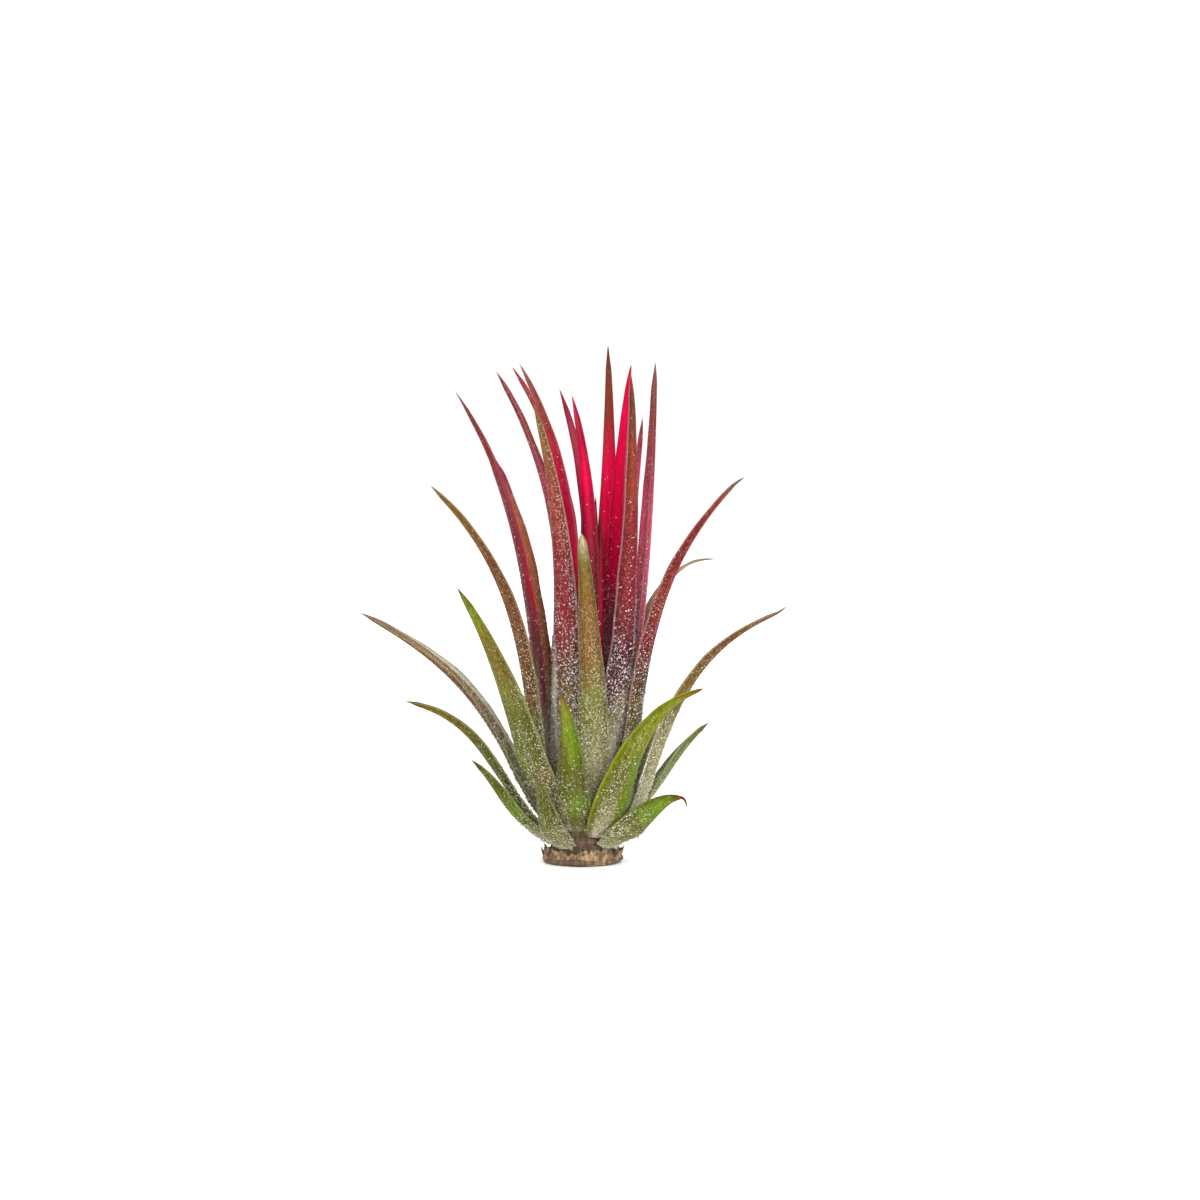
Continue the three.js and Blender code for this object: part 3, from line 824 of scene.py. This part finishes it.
grow(
    "arching_front_right", "leaf_lime", az=34, layer=6.2, out=14.8, up=19.2, lean=66, width=6.2,
    aside=(-1.6, -0.9, 3.5), hook=(0.9, 80),
    back="silver frosted sage moss lime lime lime ochre", face="sage grass lime lime lime ochre",
    frost=(1, 1, 0.85, 0.6, 0.5, 0.4, 0.15, 0), rim="#a8a830",
    zones=[
        ("back", 1, -0.05, "frosted grass grass grass lime lime ochre", 0.12),
        ("back", -1, 0.6, "frosted lime lime lime lime lime ochre", 0.12),
    ],
)
arching_rear_skin = {
    "frost": (1, 1, 0.9, 0.6, 0.4, 0.3, 0.1),
    "face_frost": (1, 1, 0.8, 0.6, 0.4, 0.2),
    "rim": "#b0ac78",
}
grow(
    "arching_rear", "leaf_olive", az=-166, layer=5.5, out=18.5, up=23, lean=58, width=5.2, hold=0.55,
    back="sage sage moss olive olive bronze bronze ash", face="frosted sage sage moss olive olive ash",
    **arching_rear_skin,
)
grow(
    "arching_rear_left", "leaf_olive", az=-134, layer=6.0, out=12, up=19, lean=44, width=4.8,
    back="sage sage moss grass moss olive olive umber", face="frosted sage sage moss olive olive ash",
    **arching_rear_skin,
)
grow(
    "arching_rear_right", "leaf_green", az=135, layer=5.7, out=12, up=16, lean=48, width=4.8,
    back="sage sage moss grass moss moss olive umber", face="frosted mist mist mist mist olive ash",
    **arching_rear_skin,
)


# The low leaves at the foot are the oldest: short, thick and green, and silvery with scales at their
# roots. They clasp the stem just above the stub and curve out below the rest of the rosette.
grow(
    "low_left", "leaf_olive", az=-82, layer=6.3, out=19.6, up=17.4, lean=80, width=5.3, hold=0.66,
    back="silver frosted moss moss moss moss olive olive umber", face="sage sage moss moss olive umber",
    frost=(1, 1, 0.7, 0.4, 0.3, 0.3, 0.2, 0.1), face_frost=(1, 0.9, 0.6, 0.4, 0.3, 0.2), rim="#9c9c60",
    bloom=0.04,
)
grow(
    "low_left_short", "leaf_green", az=-68, layer=6.8, out=12.9, up=11.4, lean=57, width=4.6, hold=0.6,
    back="silver frosted moss grass moss moss moss umber", face="sage moss grass grass moss umber",
    frost=(1, 1, 0.7, 0.4, 0.3, 0.3, 0.15), rim="#8c9c50",
)
grow(
    "low_front", "leaf_green", az=-14, layer=5.8, out=9.6, up=19.1, lean=14, width=5.2,
    aside=(0.5, 0.8, -0.9),
    back="silver frosted sage moss moss moss moss lime lime lime russet",
    face="sage moss grass grass lime russet", frost=(1, 1, 0.9, 0.6, 0.4, 0.35, 0.3, 0.1), rim="#a8a860",
    zones=[("back", 1, -0.2, "frosted moss grass moss moss grass grass lime russet", 0.5)],
)
grow(
    "low_front_hidden", "leaf_green", az=-30, layer=7, out=10, up=10.2, lean=50, width=4.4,
    back="silver frosted sage moss moss moss moss umber", face="sage moss grass grass moss umber",
    frost=(1, 1, 1, 0.8, 0.6, 0.4, 0.2), rim="#9cac70",
)
grow(
    "low_right", "leaf_lime", az=116, layer=6.2, out=14.7, up=14.3, lean=64, width=4.7, hold=0.6,
    aside=(-0.8, -0.8, 0), roll=-26,
    back="silver frosted mist mist mist mist sage ash",
    face="silver frosted mist mist mist mist sage ash",
    frost=(1, 1, 0.9, 0.6, 0.4, 0.3, 0.15), face_frost=(1, 1, 0.9, 0.7, 0.5, 0.3, 0.1), rim="#a8ac70",
)
grow(
    "low_right_hooked", "leaf_green", az=48, layer=7.0, out=10.8, up=7.4, lean=90, width=5.4,
    aside=(0.1, 1.0, 3.4), roll=-75, hook=(1.8, 176),
    back="silver frosted sage sage moss grass grass grass moss russet olive",
    face="sage moss grass grass lime russet ash", frost=(1, 1, 0.95, 0.7, 0.4, 0.2, 0.15, 0.1),
    rim="#a0a04c",
)
low_rear_skin = {
    "back": "sage sage moss grass moss moss olive umber",
    "face": "sage sage moss grass moss olive umber",
    "frost": (1, 1, 0.8, 0.5, 0.4, 0.3, 0.1),
    "face_frost": (1, 0.9, 0.6, 0.4, 0.3, 0.1),
    "rim": "#9c9c60",
}
grow(
    "low_rear", "leaf_green", az=170, layer=6.6, out=14.5, up=10, lean=70, width=4.8, **low_rear_skin
)
grow(
    "low_rear_left", "leaf_green", az=-156, layer=7, out=11.6, up=9, lean=58, width=4.4, **low_rear_skin
)
grow(
    "low_rear_right", "leaf_green", az=144, layer=7, out=10.6, up=7.5, lean=66, width=4.6, **low_rear_skin
)

bpy.data.objects.remove(blank)


# The scales are what makes the plant look frosted: tiny, papery wings on every leaf that drink from the
# air. They stand in rows along the leaf with their free ends up, close together at the root and sparse
# by the tip, and most of all on the backs and along the rims.
SCALE_LENGTH = 0.3
SCALE_WIDTH = 0.095
SCALE_HEIGHT = 0.045
SCALE_SINK = 0.03
SCALE_ROWS = 0.21
SCALE_STEP = 0.25
SCALE_JITTER = 0.18
SCALE_REACH = (0.02, 0.985)
SCALE_MARGIN = 0.98
PATCH_MEAN = 0.8
PATCH_SWING = 0.45
RIM_SCALES = 0.25
TIP_SCALES = 1.25
SCALE_SIZES = [1.25, 1.0, 0.58, 0.4]
SIZE_PLACES = [0, 0.3, 0.6, 1]
SIZE_SPREAD = (0.35, 1.25)
SCALE_SWING = 0.5
SCALE_LIFT = (0.1, 0.8)
PAPER_SPREAD = (2.8, 1.5)
SCALE_FACES = np.array([(0, 2, 1), (0, 3, 2), (1, 2, 4), (2, 3, 4), (0, 1, 4), (0, 4, 3)])
SCALE_CORNERS = 5


def grid_at(grid, ring, side):
    """The grid's value at places that may lie between its points."""
    low_ring = np.clip(np.floor(ring).astype(int), 0, BLANK_RINGS - 1)
    low_side = np.floor(side).astype(int)
    ring_part, side_part = (ring - low_ring)[:, None], (side - low_side)[:, None]
    left, right = low_side % BLANK_SIDES, (low_side + 1) % BLANK_SIDES
    below = grid[low_ring, left] * (1 - side_part) + grid[low_ring, right] * side_part
    above = grid[low_ring + 1, left] * (1 - side_part) + grid[low_ring + 1, right] * side_part
    return below * (1 - ring_part) + above * ring_part


def scatter(draw, row, length, half_width, face):
    """Where on one side of the leaf scales stand: how far along, and how far across from -1 to 1."""
    rows = np.arange(-row["width"] / 2, row["width"] / 2, SCALE_ROWS)
    steps = np.arange(SCALE_REACH[0] * length, SCALE_REACH[1] * length, SCALE_STEP)
    across, along = (part.ravel() for part in np.meshgrid(rows, steps))
    across = across + draw.normal(0, SCALE_JITTER * SCALE_ROWS, len(across))
    along = (along + draw.uniform(-0.5, 0.5, len(along)) * SCALE_STEP) / length
    across = across / half_width(along)
    amounts = row["frost"] if face == 0 else row.get("face_frost", FACE_FROST)
    amount = np.interp(along, np.linspace(0, 1, len(amounts)), amounts)
    patch = np.sin(along * length * 0.9 + 3 * across + row["seed"])
    patch = patch * np.sin(along * length * 0.37 + row["seed"] * 5)
    rim = RIM_SCALES * smooth(np.abs(across), 0.75, 0.97) * smooth(amount, 0.02, 0.3)
    amount = amount * (PATCH_MEAN + PATCH_SWING * patch) + rim
    for surface, hand, edge, _, frost_share in row.get("zones", ()):
        if (surface == "back") == (face == 0):
            amount = amount * (1 - (1 - frost_share) * smooth(hand * across, edge, edge + ZONE_BLEND))
    amount = amount * np.interp(along, [0.25, 0.7], [1, TIP_SCALES])
    kept = (np.abs(across) < SCALE_MARGIN) & (draw.random(len(along)) < amount)
    return along[kept], across[kept]


def leaf_scales(row, points, half_width):
    """The points, faces and attributes of the scales on both sides of a leaf."""
    draw = np.random.default_rng(700 + row["seed"])
    grid = points[blank_order]
    middle = grid.mean(axis=1)
    length = np.linalg.norm(np.diff(middle, axis=0), axis=1).sum()
    parts = [scatter(draw, row, length, half_width, face) for face in (0, 1)]
    along = np.concatenate([part[0] for part in parts])
    across = np.concatenate([part[1] for part in parts])
    is_face = np.repeat([0, 1], [len(part[0]) for part in parts])
    angle = np.arcsin(np.clip(across, -1, 1))
    angle = np.where(is_face, math.pi - angle, angle)
    ring, side = along * BLANK_RINGS, angle / (2 * math.pi) * BLANK_SIDES
    base = grid_at(grid, ring, side)
    ahead = grid_at(grid, np.minimum(ring + 0.5, BLANK_RINGS), side) - grid_at(grid, ring - 0.5, side)
    round_about = grid_at(grid, ring, side + 0.3) - grid_at(grid, ring, side - 0.3)
    normal = np.cross(round_about, ahead)
    ahead /= np.maximum(np.linalg.norm(ahead, axis=1), 1e-9)[:, None]
    normal /= np.maximum(np.linalg.norm(normal, axis=1), 1e-9)[:, None]
    side_way = np.cross(normal, ahead)
    count = len(along)
    swing = draw.normal(0, SCALE_SWING, (count, 1))
    ahead, side_way = (
        np.cos(swing) * ahead + np.sin(swing) * side_way,
        np.cos(swing) * side_way - np.sin(swing) * ahead,
    )
    lift = draw.uniform(*SCALE_LIFT, (count, 1))
    size = draw.uniform(*SIZE_SPREAD, (count, 1)) * np.interp(along, SIZE_PLACES, SCALE_SIZES)[:, None]
    tip = base + SCALE_LENGTH * size * (np.cos(lift) * ahead + np.sin(lift) * normal)
    centre = base + 0.5 * (tip - base)
    wing = SCALE_WIDTH * size * side_way
    crown = centre + SCALE_HEIGHT * size * normal
    places = np.stack([base - SCALE_SINK * normal, centre + wing, crown, centre - wing, tip], axis=1)
    faces = (SCALE_FACES[None] + SCALE_CORNERS * np.arange(count)[:, None, None]).reshape(-1, 3)
    paper = draw.beta(*PAPER_SPREAD, count)
    skin = np.column_stack([across, along * length, np.full(count, row["seed"] * 11.0)])
    flags = {"along": along, "across": across, "back": 1.0 - is_face, "paper": paper}
    flags = {name: np.repeat(values, SCALE_CORNERS) for name, values in flags.items()}
    return places.reshape(-1, 3), faces, flags, np.repeat(skin, SCALE_CORNERS, axis=0)


for leaf, row, half_width in grown:
    scale_points, faces, flags, skin = leaf_scales(row, read_points(leaf.data) / MM, half_width)
    mesh = bpy.data.meshes.new(row["name"] + "_scales")
    mesh.from_pydata((scale_points * MM).tolist(), [], faces.tolist())
    for name, values in flags.items():
        mesh.attributes.new(name, "FLOAT", "POINT").data.foreach_set("value", values)
    mesh.attributes.new("skin", "FLOAT_VECTOR", "POINT").data.foreach_set("vector", skin.ravel())
    mesh.materials.append(leaf.data.materials[0])
    scales = bpy.data.objects.new(mesh.name, mesh)
    bpy.context.collection.objects.link(scales)
    bpy.ops.object.select_all(action="DESELECT")
    scales.select_set(True)
    leaf.select_set(True)
    bpy.context.view_layer.objects.active = leaf
    bpy.ops.object.join()


# The setting is a plain pale floor, soft white studio light from the left, the front and the rear, and
# a camera that looks at the plant from the front, almost level with it.
CAMERA_AIM = Vector((1.9, 0, 27.9)) * MM
CAMERA_DISTANCE = 353 * MM
CAMERA_ELEVATION = math.radians(3.5)
CAMERA_LENS = 100
SENSOR_WIDTH = 36
FLOOR_SIZE = 6.0
FLOOR_WHITE = grey(0.96)
FLOOR_ROUGHNESS = 0.9
SKY_STRENGTH = 1.05


def floor_paint():
    nodes = Nodes("floor_paint")
    nodes.shader.inputs["Base Color"].default_value = FLOOR_WHITE
    nodes.shader.inputs["Roughness"].default_value = FLOOR_ROUGHNESS
    return nodes.material


def area_light(name, place, size, power):
    lamp = bpy.data.lights.new(name, "AREA")
    lamp.size = size
    lamp.energy = power
    light = bpy.data.objects.new(name, lamp)
    light.location = Vector(place)
    light.rotation_euler = (CAMERA_AIM - light.location).to_track_quat("-Z", "Y").to_euler()
    bpy.context.collection.objects.link(light)


bpy.ops.object.select_all(action="DESELECT")
bpy.ops.mesh.primitive_plane_add(size=FLOOR_SIZE)
floor = bpy.context.object
floor.name = "studio_floor"
floor.data.materials.append(floor_paint())

area_light("key", (-0.32, -0.42, 0.5), 0.3, 1.9)
area_light("front", (0.08, -0.5, 0.09), 0.25, 2.7)
area_light("back", (0.15, 0.5, 0.4), 0.4, 2.2)

world = bpy.data.worlds.new("studio")
world.use_nodes = True
world.node_tree.nodes["Background"].inputs["Color"].default_value = grey(1)
world.node_tree.nodes["Background"].inputs["Strength"].default_value = SKY_STRENGTH
bpy.context.scene.world = world

lens = bpy.data.cameras.new("camera")
lens.lens = CAMERA_LENS
lens.sensor_width = SENSOR_WIDTH
lens.clip_start = 0.01
camera = bpy.data.objects.new("camera", lens)
gaze = Vector((0, math.cos(CAMERA_ELEVATION), -math.sin(CAMERA_ELEVATION)))
camera.location = CAMERA_AIM - gaze * CAMERA_DISTANCE
camera.rotation_euler = gaze.to_track_quat("-Z", "Y").to_euler()
bpy.context.collection.objects.link(camera)
bpy.context.scene.camera = camera
bpy.context.scene.view_settings.view_transform = "Standard"
bpy.context.scene.view_settings.look = "None"
